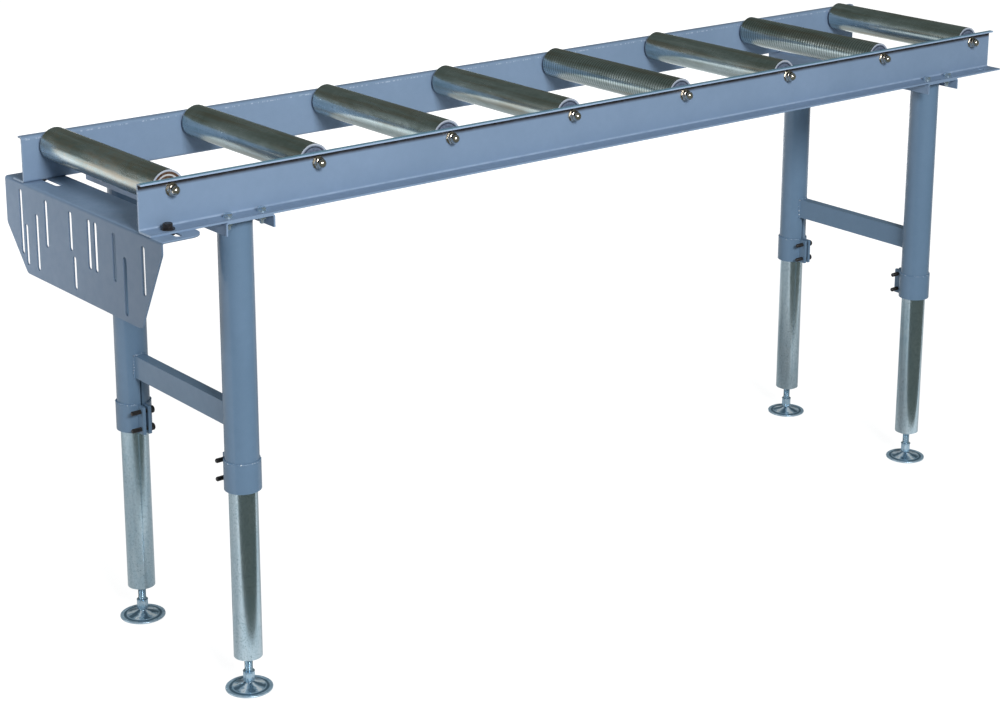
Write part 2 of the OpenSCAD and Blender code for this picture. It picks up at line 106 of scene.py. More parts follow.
class Nodes:
    """Short ways to add nodes and to link them. A value is a number, a colour or a socket."""

    def __init__(self, owner):
        owner.use_nodes = True
        self.nodes = owner.node_tree.nodes
        self.links = owner.node_tree.links

    def put(self, socket, value):
        if isinstance(value, bpy.types.NodeSocket):
            self.links.new(value, socket)
        else:
            socket.default_value = value

    def add(self, kind, **inputs):
        """A new node, with inputs given by their names."""
        n = self.nodes.new(f"ShaderNode{kind}")
        for name, value in inputs.items():
            self.put(n.inputs[name.replace("_", " ")], value)
        return n

    def fill(self, n, *values):
        """The first output of a node, whose inputs take the values in their order."""
        for socket, value in zip(n.inputs, values):
            self.put(socket, value)
        return n.outputs[0]

    def ramp(self, value, low, high, to_low=0.0, to_high=1.0):
        n = self.add("MapRange", Value=value, From_Min=low, From_Max=high, To_Min=to_low, To_Max=to_high)
        return n.outputs["Result"]

    def fade(self, value, origin, start, end, share=1.0):
        """From 0 at the start to the share at the end, in millimetres from an origin in metres."""
        return self.ramp(value, origin + start * MM, origin + end * MM, 0.0, share)

    def math(self, how, a, b=0.0):
        n = self.add("Math")
        n.operation = how
        return self.fill(n, a, b)

    def plus(self, a, b):
        return self.math("ADD", a, b)

    def times(self, *factors):
        out = factors[0]
        for f in factors[1:]:
            out = self.math("MULTIPLY", out, f)
        return out

    def size(self, value):
        return self.math("ABSOLUTE", value)

    def length(self, a, b):
        return self.math("SQRT", self.plus(self.times(a, a), self.times(b, b)))

    def within(self, value, start, pitch):
        """How far a place is from the middle of the pitch that it is in, counted from a start."""
        return self.plus(self.math("MODULO", self.plus(value, -start), pitch), -pitch / 2)


class Surface(Nodes):
    """A principled material, whose patterns lie in the object's own metres."""

    def __init__(self, name):
        self.material = bpy.data.materials.new(name)
        super().__init__(self.material)
        self.shader = self.nodes["Principled BSDF"]
        self.coords = self.add("TexCoord").outputs["Object"]
        self.x, self.y, self.z = self.add("SeparateXYZ", Vector=self.coords).outputs

    def set(self, **values):
        for name, value in values.items():
            self.put(self.shader.inputs[name.replace("_", " ")], value)

    def stretch(self, x, y, z):
        return self.add("Mapping", Vector=self.coords, Scale=(x, y, z)).outputs["Vector"]

    def noise(self, scale, detail=3.0, rough=0.6, vector=None, twist=0.0):
        n = self.add("TexNoise", Vector=self.coords if vector is None else vector, Scale=scale,
                     Detail=detail, Roughness=rough, Distortion=twist)
        return n.outputs["Fac"]

    def cells(self, scale, vector):
        n = self.add("TexVoronoi", Vector=vector, Scale=scale)
        return self.add("SeparateColor", Color=n.outputs["Color"]).outputs[0]

    def mix(self, share, a, b):
        n = self.add("Mix")
        n.data_type = "RGBA"
        for name, value in (("Factor", share), ("A", a), ("B", b)):
            self.put(n.inputs[name], value)
        return n.outputs["Result"]

    def layers(self, base, *over):
        """A colour with others laid over it, each with its share."""
        for share, colour in over:
            base = self.mix(share, base, colour)
        return base

    def bump(self, height, strength, depth):
        """Relief from a height, with its depth in millimetres."""
        n = self.add("Bump", Strength=strength, Distance=depth * MM, Height=height)
        self.links.new(n.outputs["Normal"], self.shader.inputs["Normal"])


# What the folded sheets show over their paint, from the lowest layer up: a painted shadow under the lip,
# painted highlights on the lip's edge, along two folds and on the cut ends, and painted shade on the front
# lip's top and on the hanging plate

def sheet_marks(t, mottle, plate_shade_colour):
    out = t.size(t.y)
    # Painted shadow: the top of the web just under the lip, in dark brown
    under_lip_shadow = t.times(t.fade(t.z, RAIL_TOP, -14.5, -9.5), t.fade(out, WEB_OUT, -0.7, -0.2),
                    t.fade(out, LIP_OUT, -0.4, -0.8), t.fade(t.z, RAIL_TOP, -0.6, -1.2),
                    t.ramp(mottle, 0.3, 0.6, 0.84, 0.96))
    # Painted highlight on the lip's outer edge
    lip_edge_highlight = t.times(t.fade(t.z, RAIL_TOP, -3.7, -3.2), t.fade(out, LIP_OUT, -0.6, -0.2), 0.7)
    # Painted shade: the top of the front rail's lip in a darker teal
    front_lip_top_shade = t.times(t.fade(t.y, 0.0, -100, -110), t.fade(t.z, RAIL_TOP, -0.8, -0.3),
                        t.fade(out, WEB_OUT, -1.5, -0.5), 0.6)
    # Painted highlight along the rear rail's top fold, broken into dashes
    lengthwise = t.noise(260.0, 2.0, 0.6, t.stretch(1.0, 0.2, 0.2))
    rear_fold_highlight = t.times(t.fade(t.y, 0.0, 180, 185), t.fade(t.z, RAIL_TOP, -6.8, -6.0),
                          t.fade(t.z, RAIL_TOP, -3.8, -4.6), t.fade(out, WEB_OUT, -1.5, -2.0),
                          t.ramp(lengthwise, 0.5, 0.6), 0.35)
    # Painted highlight along the fold between the web and the bottom flange
    bottom_fold_highlight = t.times(t.fade(t.z, RAIL_UNDERSIDE, 2.8, 3.2), t.fade(t.z, RAIL_UNDERSIDE, 6.6, 5.4),
                   t.fade(out, WEB_OUT, -0.3, -0.1), t.fade(out, WEB_OUT, 3.2, 2.2),
                   t.ramp(mottle, 0.3, 0.6, 0.08, 0.28))
    # Painted shade: the hanging plate darkens towards the front
    plate_shade_mask = t.times(t.fade(t.z, RAIL_UNDERSIDE, -1.2, -1.6), t.fade(t.x, -RAIL_END, 100, 95),
                            t.fade(t.y, 0.0, 200, -250, 0.85))
    # Painted highlight on the sheets' cut ends, pale in patches
    end_edge_highlight = t.times(t.fade(t.size(t.x), RAIL_END, -0.7, -0.3), t.fade(t.z, RAIL_UNDERSIDE, 0.2, 0.6),
                       t.ramp(t.noise(140.0, 2.0, 0.55), 0.35, 0.5), 0.55)
    return ((under_lip_shadow, tone(44, 38, 37)), (lip_edge_highlight, tone(168, 188, 216)), (front_lip_top_shade, tone(84, 142, 160)),
            (rear_fold_highlight, tone(220, 232, 244)), (bottom_fold_highlight, tone(190, 208, 230)), (plate_shade_mask, plate_shade_colour),
            (end_edge_highlight, tone(176, 193, 212)))


# Blue-grey enamel with a fine grain, in a given tint, with painted glints as pale spots on the weld beads

def paint(name, tint, glint_share=0.0, coat=0.1):
    t = Surface(name)

    def shade(*rgb):
        return (*(c * k for c, k in zip(tone(*rgb), tint)), 1.0)

    cloud = t.noise(5.0, 4.0)
    mottle = t.noise(60.0)
    dust = t.noise(800.0, 2.0, 0.7)
    base = t.mix(t.ramp(cloud, 0.3, 0.7), shade(117, 139, 165), shade(125, 147, 174))
    # The darker tint handed to sheet_marks is the hanging plate's painted shade
    base = t.layers(base, (t.ramp(mottle, 0.3, 0.75, 0.0, 0.25), shade(110, 133, 157)),
                    (t.ramp(dust, 0.55, 0.8, 0.0, 0.25), shade(146, 165, 187)),
                    *sheet_marks(t, mottle, shade(84, 104, 126)))
    # Painted glints: near-white spots on the weld beads
    if glint_share:
        base = t.mix(t.ramp(t.noise(330.0, 2.0), 0.6, 0.66, 0.0, glint_share), base, tone(232, 238, 243))
    t.set(Base_Color=base, Roughness=t.ramp(mottle, 0.3, 0.7, 0.36, 0.48), Metallic=0.0,
          IOR=1.5, Specular_IOR_Level=0.3, Coat_Weight=coat, Coat_Roughness=0.08)
    t.bump(t.plus(t.noise(700.0, 2.0), t.times(t.noise(160.0, 2.0, 0.5), 1.5)), 0.2, 0.1)
    return t.material


# A mask for one roller, which ends halfway to the next ones

def on_roller(t, number):
    off = t.size(t.plus(t.x, -AXLES[number - 1][0]))
    return t.fade(off, AXLE_PITCH / 2, 0, -1)


# Zinc on the rollers: clouds and streaks along them, fine rings round them, bright turned ends

def roller_zinc():
    t = Surface("roller_zinc")
    cloud = t.noise(26.0, 4.0, 0.6, t.stretch(1.0, 0.35, 1.0), 0.6)
    wisps = t.noise(60.0, 4.0, 0.65, t.stretch(1.0, 0.5, 1.0), 1.4)
    rings = t.noise(420.0, 2.0, 0.6, t.stretch(0.03, 1.0, 0.03))
    streaks = t.noise(70.0, 3.0, 0.6, t.stretch(1.0, 0.05, 1.0))
    specks = t.noise(300.0, 3.0, 0.7)
    first = on_roller(t, 1)
    # Pitches are counted from y = -1 m, because a remainder is taken of a number above nought
    from_ridge = t.size(t.within(t.y, -1.0, RIDGE_PITCH))
    ridged = t.plus(*(on_roller(t, number) for number in RIDGED))
    # Painted shade: dark lines along the ridges of the ridged rollers
    ridge_shade = t.times(t.fade(from_ridge, 0.0, 1.2, 0.3), ridged, 0.75)
    end = t.fade(t.size(t.y), ROLLER_HALF, -0.3, -0.1)
    base = t.mix(t.ramp(cloud, 0.35, 0.65), tone(166, 184, 184), tone(190, 206, 210))
    base = t.layers(
        base, (t.ramp(wisps, 0.45, 0.75, 0.0, 0.5), tone(206, 220, 224)),
        (t.times(t.ramp(wisps, 0.4, 0.7, 0.0, 0.55), first), tone(196, 178, 152)),
        (t.ramp(rings, 0.35, 0.75, 0.0, 0.22), tone(126, 138, 130)),
        (t.ramp(specks, 0.6, 0.75, 0.0, 0.35), tone(104, 110, 102)),
        (t.ramp(streaks, 0.48, 0.66, 0.0, 0.55), tone(158, 142, 116)),
        (t.ramp(streaks, 0.44, 0.32, 0.0, 0.5), tone(216, 228, 232)),
        (ridge_shade, tone(70, 78, 72)), (end, tone(200, 207, 220)))
    rough = t.plus(t.ramp(cloud, 0.3, 0.7, 0.2, 0.3), t.times(first, 0.02))
    t.set(Base_Color=base, Roughness=rough, Metallic=t.ramp(end, 0.0, 1.0, 1.0, 0.25))
    t.bump(t.plus(rings, specks), 0.2, 0.06)
    return t.material


# What fills a roller's end: a zinc disc with a dark line, or rust round a bright ring on the first

def roller_end():
    t = Surface("roller_end")
    dx = t.within(t.x, AXLES[0][0] - AXLE_PITCH / 2, AXLE_PITCH)
    dz = t.plus(t.z, -AXLES[0][1])
    r = t.length(dx, dz)
    hub_r, ring_in, ring_out, line_out = (v * MM for v in (12.5, 18.6, 21.6, 24.0))
    grain = t.noise(240.0, 4.0, 0.65)
    patches = t.ramp(grain, 0.35, 0.65)
    line = t.times(t.fade(r, ring_out, 0, 0.6), t.fade(r, line_out, 0, -0.4))
    disc = t.layers(t.mix(patches, tone(104, 116, 140), tone(140, 152, 174)),
                    (line, tone(66, 72, 84)), (t.fade(r, hub_r, 0, -3, 0.85), tone(74, 62, 56)))
    ring = t.times(t.fade(r, ring_in, 0, 0.4), t.fade(r, ring_out, 0, -0.4))
    rust = t.layers(t.mix(patches, tone(92, 62, 44), tone(150, 122, 98)),
                    (ring, tone(226, 228, 230)), (t.fade(r, ring_out, 0, 1.2, 0.6), tone(84, 58, 44)))
    t.set(Base_Color=t.mix(on_roller(t, 1), disc, rust), Roughness=t.ramp(grain, 0.3, 0.7, 0.32, 0.5),
          Metallic=0.35)
    t.bump(grain, 0.2, 0.06)
    return t.material


# Hot-dip zinc tube with flakes of different brightness and small dark specks

def tube_zinc():
    t = Surface("tube_zinc")
    flakes = t.cells(90.0, t.stretch(1.0, 1.0, 0.4))
    grain = t.noise(300.0)
    streak = t.noise(60.0, 3.0, 0.6, t.stretch(1.0, 1.0, 0.06))
    cloud = t.noise(14.0, 3.0, 0.6, t.stretch(1.0, 1.0, 0.3))
    base = t.mix(t.ramp(cloud, 0.3, 0.7), tone(166, 192, 206), tone(194, 213, 223))
    base = t.layers(
        base, (t.ramp(flakes, 0.0, 1.0, 0.0, 0.25), tone(212, 223, 228)),
        (t.ramp(streak, 0.4, 0.7, 0.0, 0.4), tone(140, 162, 174)),
        (t.ramp(grain, 0.5, 0.7, 0.0, 0.5), tone(120, 144, 154)),
        (t.ramp(t.noise(420.0, 2.0), 0.66, 0.7, 0.0, 0.8), tone(64, 82, 90)))
    t.set(Base_Color=base, Roughness=t.ramp(streak, 0.3, 0.7, 0.16, 0.27), Metallic=1.0)
    t.bump(t.plus(grain, t.times(flakes, 0.6)), 0.1, 0.05)
    return t.material


# Bright zinc plating on bolts, spacers and foot spindles, faintly clouded and stained

def bright_zinc(name, dark, light, rough, metal):
    t = Surface(name)
    cloud = t.noise(90.0)
    stain = t.noise(240.0)
    base = t.mix(t.ramp(cloud, 0.3, 0.7), dark, light)
    base = t.mix(t.ramp(stain, 0.55, 0.75, 0.0, 0.2), base, tone(96, 116, 130))
    t.set(Base_Color=base, Roughness=t.ramp(stain, 0.3, 0.7, rough - 0.05, rough + 0.08),
          Metallic=metal)
    t.bump(t.noise(1200.0, 2.0), 0.05, 0.03)
    return t.material


# Zinc on a foot pad, with painted light: a painted highlight on the rim, painted shade in the groove, and
# painted reflections as bright and dark streaks on the cone

def pad_zinc():
    t = Surface("pad_zinc")
    leg_x, leg_y = (abs(c) for c in LEGS["front_left"])
    dx = t.plus(t.size(t.x), -leg_x)
    dy = t.plus(t.size(t.y), -leg_y)
    r = t.length(dx, dy)
    cone_r, groove_r, rim_r = (v * MM for v in (28.5, 34.5, 38.5))
    cloud = t.noise(120.0)
    turn = t.math("ARCTAN2", dy, dx)
    # Painted reflections: bright and dark streaks round the cone
    streak = t.math("SINE", t.plus(t.times(turn, 5.0), t.times(cloud, 4.0)))
    cone = t.fade(r, cone_r, 0, -1.5)
    groove_shade = t.times(t.fade(r, cone_r, 0, 1.5), t.fade(r, groove_r, 0, -1.5), 0.85)
    base = t.mix(t.ramp(cloud, 0.3, 0.7), tone(136, 170, 194), tone(176, 202, 220))
    # Over the zinc: painted reflections on the cone, painted shade in the groove and a painted highlight
    # on the rim
    base = t.layers(
        base, (t.times(cone, t.ramp(streak, -0.2, 0.7, 0.05, 0.85)), tone(56, 84, 104)),
        (t.times(cone, t.ramp(streak, -0.55, -0.85, 0.0, 0.85)), tone(228, 238, 244)),
        (groove_shade, tone(52, 84, 106)), (t.fade(r, rim_r, 0, 0.7, 0.5), tone(196, 212, 224)))
    t.set(Base_Color=base, Roughness=t.ramp(cloud, 0.3, 0.7, 0.26, 0.36), Metallic=0.45)
    t.bump(cloud, 0.05, 0.03)
    return t.material


# Stainless steel of the cap nuts and their washers

def stainless():
    t = Surface("stainless")
    cloud = t.noise(260.0)
    base = t.mix(t.ramp(cloud, 0.35, 0.7), tone(196, 188, 176), tone(226, 222, 214))
    t.set(Base_Color=base, Roughness=t.ramp(cloud, 0.3, 0.7, 0.17, 0.25), Metallic=1.0)
    t.bump(t.noise(1800.0, 2.0), 0.06, 0.02)
    return t.material


# Bare steel of the axles and bearing rings, with brown stains

def bearing_steel():
    t = Surface("bearing_steel")
    cloud = t.noise(190.0, 4.0, 0.65)
    base = t.mix(t.ramp(cloud, 0.4, 0.7), tone(132, 137, 142), tone(196, 200, 205))
    base = t.mix(t.ramp(t.noise(90.0), 0.55, 0.75, 0.0, 0.7), base, tone(96, 72, 52))
    t.set(Base_Color=base, Roughness=t.ramp(cloud, 0.3, 0.7, 0.22, 0.42), Metallic=1.0)
    t.bump(cloud, 0.15, 0.05)
    return t.material


# Blackened steel of the bracket's bolts and the clamp screws

def black_steel():
    t = Surface("black_steel")
    cloud = t.noise(300.0)
    base = t.mix(t.ramp(cloud, 0.35, 0.7), tone(22, 21, 23), tone(48, 45, 46))
    t.set(Base_Color=base, Roughness=t.ramp(cloud, 0.3, 0.7, 0.34, 0.55), Metallic=0.0)
    t.bump(cloud, 0.2, 0.06)
    return t.material


# The photo's folded sheets are lighter than its tubes
# The sheets' lighter tint holds a painted sheen; the tubes' darker tint is partly their bluer enamel and
# partly painted shade
SHEET_TINT_AND_SHEEN = (1.08, 1.07, 1.07)
TUBE_TINT_AND_SHADE = (0.67, 0.77, 0.8)
PAINT = paint("frame_enamel", SHEET_TINT_AND_SHEEN)
TUBE_PAINT = paint("tube_enamel", TUBE_TINT_AND_SHADE, coat=0.45)
WELD = paint("weld_enamel", TUBE_TINT_AND_SHADE, glint_share=0.9)
ROLLER = roller_zinc()
ROLLER_END = roller_end()
TUBE = tube_zinc()
STAINLESS = stainless()
BEARING = bearing_steel()
BLACK = black_steel()
ZINC = bright_zinc("bright_zinc", tone(176, 200, 216), tone(214, 228, 236), 0.22, 0.85)
FOOT = bright_zinc("foot_zinc", tone(150, 184, 206), tone(190, 212, 226), 0.2, 0.8)
PAD = pad_zinc()


# Each node of the frame takes the first of these materials whose words are in its name

BY_NAME = (
    ("axle_nuts", STAINLESS), ("axle_washers", STAINLESS), ("roller_axles", BEARING),
    ("bearing_inner_rings", BEARING), ("roller_ends", ROLLER_END), ("bearing_spacers", ZINC),
    ("frame_bolts", ZINC), ("frame_washers", ZINC), ("frame_nuts", ZINC), ("bracket_bolts", BLACK),
    ("bracket_nuts", BLACK), ("clamp_screws", BLACK), ("roller_tube", ROLLER), ("inner_tube", TUBE),
    ("foot_insert", TUBE), ("foot_spindle", FOOT), ("foot_pad", FOOT), ("leg_tube", TUBE_PAINT),
    ("collar", TUBE_PAINT), ("brace", TUBE_PAINT), ("", PAINT))
for node, obj in frame["nodes"].items():
    obj.data.materials.clear()
    obj.data.materials.append(next(m for part, m in BY_NAME if part in node))


# Mesh helpers: every piece is made in millimetres and stored in metres

def piece(name, points, faces, material, body, slot, stands_for=(), smooth=40.0):
    mesh = bpy.data.meshes.new(name)
    mesh.from_pydata([tuple(c * MM for c in p) for p in points], [], faces)
    bm = bmesh.new()
    bm.from_mesh(mesh)
    bmesh.ops.remove_doubles(bm, verts=bm.verts, dist=0.002 * MM)
    bmesh.ops.recalc_face_normals(bm, faces=bm.faces)
    bm.to_mesh(mesh)
    bm.free()
    for face in mesh.polygons:
        face.use_smooth = True
    mesh.set_sharp_from_angle(angle=math.radians(smooth))
    mesh.materials.append(material)
    obj = bpy.data.objects.new(name, mesh)
    scene.collection.objects.link(obj)
    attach(obj, body)
    if stands_for:
        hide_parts(*stands_for)


def box_mm(node):
    return [[c / MM for c in point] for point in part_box(node)]


LEG_AXES = {corner: tuple(c / MM for c in LEGS[corner]) for corner in CORNERS}


def turns(sides):
    return [2 * math.pi * k / sides for k in range(sides)]


def steps(start, end, count):
    """Values from the start up to, but without, the end."""
    return [start + (end - start) * k / count for k in range(count)]


def hexagon_r(turn, flats):
    """How far out a hexagon reaches at an angle, from its width across the flats."""
    return flats / 2 / math.cos((turn + math.pi / 6) % (math.pi / 3) - math.pi / 6)


def ring_faces(rows, sides, closed):
    """Faces between rows of points. The end rows are joined to each other or filled."""
    faces = []
    for j in range(rows if closed else rows - 1):
        below, above = j * sides, (j + 1) % rows * sides
        for k in range(sides):
            ahead = (k + 1) % sides
            faces.append((below + k, below + ahead, above + ahead, above + k))
    if not closed:
        faces.append(tuple(range(sides)))
        faces.append(tuple((rows - 1) * sides + k for k in range(sides)))
    return faces


def skin(rows, place, along="z", closed=False):
    """A body round an axis. A row is its height and its radii, one for each side."""
    points = []
    for h, radii in rows:
        for r, a in zip(radii, turns(len(radii))):
            u, v = r * math.cos(a), r * math.sin(a)
            local = {"z": (u, v, h), "y": (u, h, v), "x": (h, u, v)}[along]
            points.append(tuple(p + q for p, q in zip(place, local)))
    return points, ring_faces(len(rows), len(rows[0][1]), closed)


def turned(rings, sides, place, along="z", closed=False):
    """A turned body. A ring is its height and radius, then the width across the flats of the
    hexagon that cuts it, if one does."""
    rows = []
    for h, r, *flats in rings:
        rows.append((h, [min(r, hexagon_r(a, flats[0])) if flats else r for a in turns(sides)]))
    return skin(rows, place, along, closed)


def thread(low, high, r_out, pitch, sides, per_turn):
    """Rows of a threaded rod with narrower ends, so many to each turn of the helix."""
    depth = 0.61 * pitch
    end_length, end_slope = 1.5, 0.8
    count = int(round((high - low) / pitch * per_turn))
    rows = []
    for j in range(count + 1):
        h = low + (high - low) * j / count
        limit = r_out - max(0.0, end_length - min(h - low, high - h)) * end_slope
        radii = []
        for k in range(sides):
            turn = (h / pitch - k / sides) % 1.0
            crest = min(1.0, 1.25 * (1 - abs(2 * turn - 1)))
            radii.append(min(limit, r_out - depth * (1 - crest)))
        rows.append((h, radii))
    return rows


def join(*parts):
    points, faces = [], []
    for p, f in parts:
        n = len(points)
        points += p
        faces += [tuple(i + n for i in face) for face in f]
    return points, faces


def bead(path, radius, seed, closed=True, wave=0.22):
    """A weld bead: a lumpy tube along a path, with the ripples that a weld leaves."""
    rng = random.Random(seed)
    sides, n = 8, len(path)
    points, lump = [], 0.0
    for i, p in enumerate(path):
        p = Vector(p)
        ahead = Vector(path[(i + 1) % n]) if closed or i < n - 1 else p
        behind = Vector(path[i - 1]) if closed or i else p
        t = (ahead - behind).normalized()
        side = (t.orthogonal() if abs(t.z) > 0.9 else t.cross(Vector((0, 0, 1)))).normalized()
        up = side.cross(t)
        lump = 0.7 * lump + rng.uniform(-wave, wave)
        r = radius * (1 + 0.5 * lump + 0.16 * math.cos(i * math.pi / 2))
        if not closed and i in (0, n - 1):
            r *= 0.3
        points += [tuple(p + side * r * math.cos(a) + up * r * math.sin(a)) for a in turns(sides)]
    return points, ring_faces(n, sides, closed)


# Weld beads: where each leg tube meets its crossbeam, on top of each collar and at the brace ends

LEG_R = 28.5
BEAD_R = 1.9
COLLAR_BEAD_R = 1.6
# How far the middle of a bead lies outside the leg tube, below its top and above the collar
BEAD_OUT = 0.9
BEAD_DOWN = 1.4
BEAD_UP = 0.3
# Half the angle that a collar's ears take up, in degrees
EARS_HALF = 14
# The brace's bead lies on this radius round the leg, just outside the brace's faces
BRACE_SEAT_R = LEG_R + 0.5
BRACE_OUT = (0.3, 0.4)
LEG_SEED, COLLAR_SEED, BRACE_SEED = 11, 31, 51


def round_leg(corner, z, degrees):
    x, y = LEG_AXES[corner]
    r = LEG_R + BEAD_OUT
    return [(x + r * math.cos(a), y + r * math.sin(a), z) for a in map(math.radians, degrees)]


def leg_welds():
    for i, (corner, side) in enumerate(CORNERS.items()):
        leg_top, collar_top = (box_mm(f"{corner}_{part}")[1][2] for part in ("leg_tube", "clamp_collar"))
        path = round_leg(corner, leg_top - BEAD_DOWN, steps(0, 360, 120))
        top = bead(path, BEAD_R, LEG_SEED + i)
        # The collar is open towards the other leg, so its bead stops either side of the ears
        inward = 90 if side < 0 else 270
        start, end = inward + EARS_HALF, inward + 360 - EARS_HALF
        path = round_leg(corner, collar_top + BEAD_UP, steps(start, end, 130) + [end])
        ring = bead(path, COLLAR_BEAD_R, COLLAR_SEED + i, closed=False, wave=0.4)
        piece(f"{corner}_leg_welds", *join(top, ring), WELD, "frame", "frame_paint")


def brace_welds():
    for i, side in enumerate(("left", "right")):
        (left, _, bottom), (right, _, top) = box_mm(f"{side}_brace")
        x, half = (left + right) / 2, (right - left) / 2
        wide, over = half + BRACE_OUT[0], BRACE_OUT[1]
        # Round the brace's section, from its lower left corner
        across, up = steps(-half, half, 12), steps(bottom, top, 20)
        outline = [(dx, bottom - over) for dx in across] + [(wide, z) for z in up]
        outline += [(-dx, top + over) for dx in across] + [(-wide, bottom + top - z) for z in up]
        beads = []
        for j, end in enumerate(("front", "rear")):
            corner = f"{end}_{side}"
            path = []
            for dx, z in outline:
                inwards = CORNERS[corner] * math.sqrt(BRACE_SEAT_R ** 2 - dx ** 2)
                path.append((x + dx, LEG_AXES[corner][1] - inwards, z))
            beads.append(bead(path, BEAD_R, BRACE_SEED + 2 * i + j))
        piece(f"{side}_brace_welds", *join(*beads), WELD, "frame", "frame_paint")


# Levelling feet: a threaded spindle with its hexagon and ball neck, and a pressed pad

BALL_R = 6.0
BALL_Z = 7.0
NECK_R = 3.5
SPINDLE_R = 7.0
SPINDLE_PITCH = 2.0
HEX_FLATS = 17.0
HEX_CORNERS = HEX_FLATS / math.sqrt(3)
# Height above the floor and radius, and the flats where a hexagon cuts: the neck, the hexagon with
# its chamfers, and the ring on top of it
HEX_OUTLINE = [
    (11.5, NECK_R), (12.5, NECK_R), (12.5, 8.3), (13.0, 8.9, HEX_FLATS), (13.7, HEX_CORNERS, HEX_FLATS),
    (22.0, HEX_CORNERS, HEX_FLATS), (28.2, HEX_CORNERS, HEX_FLATS), (28.8, 9.1, HEX_FLATS), (28.9, 8.2),
    (29.6, 8.2), (29.7, 9.9), (31.1, 10.1), (31.5, 9.7), (31.5, 6.2)]
THREAD_Z = 31.0
# Height and radius round the pad: its underside, rim, groove, cone and boss, and the ball's socket
PAD_OUTLINE = [
    (0.0, 12.0), (5.5, 14.5), (0.0, 28.4),
    (0.0, 39.2), (0.35, 39.8), (1.4, 40.0), (2.3, 39.8), (2.75, 39.2), (2.9, 38.0),
    (2.6, 36.5), (2.3, 33.5), (2.4, 31.6), (2.9, 29.6),
    (4.2, 25.0), (6.2, 18.5), (8.0, 13.2), (9.4, 10.2),
    (10.2, 9.2), (10.5, 8.3), (10.5, 6.1),
    (9.9, 5.6), (8.0, 6.15), (7.0, 6.2), (4.0, 5.5), (2.0, 3.7), (0.0, 3.4)]


def feet():
    # The ball in rings 41 / 3 degrees apart, from its lowest point up to the neck
    rise = [math.radians(k * 41 / 3 - 90) for k in range(11)]
    ball = [(BALL_Z + BALL_R * math.sin(a), max(0.02, BALL_R * math.cos(a))) for a in rise]
    for corner in CORNERS:
        place = (*LEG_AXES[corner], 0)
        top = box_mm(f"{corner}_foot_spindle")[1][2]
        body = turned(ball + HEX_OUTLINE, 48, place)
        shaft = skin(thread(THREAD_Z, top, SPINDLE_R, SPINDLE_PITCH, sides=24, per_turn=6), place)
        piece(f"{corner}_spindle_detail", *join(body, shaft), FOOT, f"{corner}_spindle", "bright_zinc",
              (f"{corner}_foot_spindle",), smooth=32.0)
        pad = turned(PAD_OUTLINE, 96, place, closed=True)
        piece(f"{corner}_pad_detail", *pad, PAD, f"{corner}_pad", "bright_zinc",
              (f"{corner}_foot_pad",), smooth=50.0)


# Clamp screws: knurled socket heads and threaded shanks, which lie along X

SCREW_R = 4.0
SCREW_PITCH = 1.25
# From a leg's axis towards the other leg, and from the collar's middle up and down
SCREW_IN = 38.5
SCREW_UP = 16.0
# The two ends of the shank and of the head, from the leg's axis along X
SHANK = (-26.5, 9.0)
HEAD = (8.5, 16.5)
HEAD_R = 6.5
KNURL = 0.3
SOCKET_FLATS = 6.0
SOCKET_DEPTH = 4.0


def screw_head():
    """Rows from under the head to its top, and down the socket to the socket's middle."""
    sides = 72
    low, high = HEAD
    knurled = [HEAD_R - KNURL * (k % 2) for k in range(sides)]
    socket = [hexagon_r(a, SOCKET_FLATS) for a in turns(sides)]
    return [(low, [SCREW_R + 0.2] * sides), (low, knurled), (high - 0.9, knurled),
            (high, [HEAD_R - 0.7] * sides), (high, socket), (high - SOCKET_DEPTH, socket),
            (high - SOCKET_DEPTH, [0.05] * sides)]


def clamp_screws():
    parts = []
    for corner, side in CORNERS.items():
        x, y = LEG_AXES[corner]
        collar_z = middle(f"{corner}_clamp_collar")[2] / MM
        for up in (-SCREW_UP, SCREW_UP):
            place = (x, y - side * SCREW_IN, collar_z + up)
            shank = thread(*SHANK, SCREW_R, SCREW_PITCH, sides=16, per_turn=5)
            parts += [skin(shank, place, "x"), skin(screw_head(), place, "x")]
    piece("clamp_screws_detail", *join(*parts), BLACK, "frame", "black_steel", ("clamp_screws",),
          smooth=32.0)


# Two rollers carry fine ridges round them, as their tubes were drawn

ROLLER_WALL = 3.0
RIDGE_ROWS = 420
RIDGE_DEPTH = 0.11
# How far the ridged tube's surface lies inside the plain one's
RIDGE_SINK = 0.06
# Length and depth of the bevel at each end, and the length over which the ridges grow from there
END_BEVEL = 0.3
END_DROP = 0.15
LEAD_IN = 12.0


def ridged_rollers():
    for number, strength in RIDGED.items():
        low, high = box_mm(f"roller_tube_{number}")
        x, z = (c / MM for c in AXLES[number - 1])
        r, half = (high[0] - low[0]) / 2 - RIDGE_SINK, high[1]
        depth = RIDGE_DEPTH * random.Random(number).uniform(0.9, 1.1)
        start, end = -half + END_BEVEL, half - END_BEVEL
        rings = [(-half, r - ROLLER_WALL), (-half, r - END_DROP), (start, r)]
        for h in steps(start, end, RIDGE_ROWS)[1:]:
            growth = min(1.0, (h + half) / LEAD_IN, (half - h) / LEAD_IN)
            wave = 0.5 - 0.5 * math.cos(2 * math.pi * h * MM / RIDGE_PITCH)
            rings.append((h, r - depth * strength((h + half) / (2 * half)) * growth * wave))
        rings += [(end, r), (half, r - END_DROP), (half, r - ROLLER_WALL)]
        tube = turned(rings, 96, (x, 0, z), along="y", closed=True)
        piece(f"roller_tube_{number}_ridged", *tube, ROLLER, f"roller_{number}", "roller_zinc",
              (f"roller_tube_{number}",), smooth=60.0)


leg_welds()
brace_welds()
feet()
clamp_screws()
ridged_rollers()


# Shader trees of the floor, the world and the studio

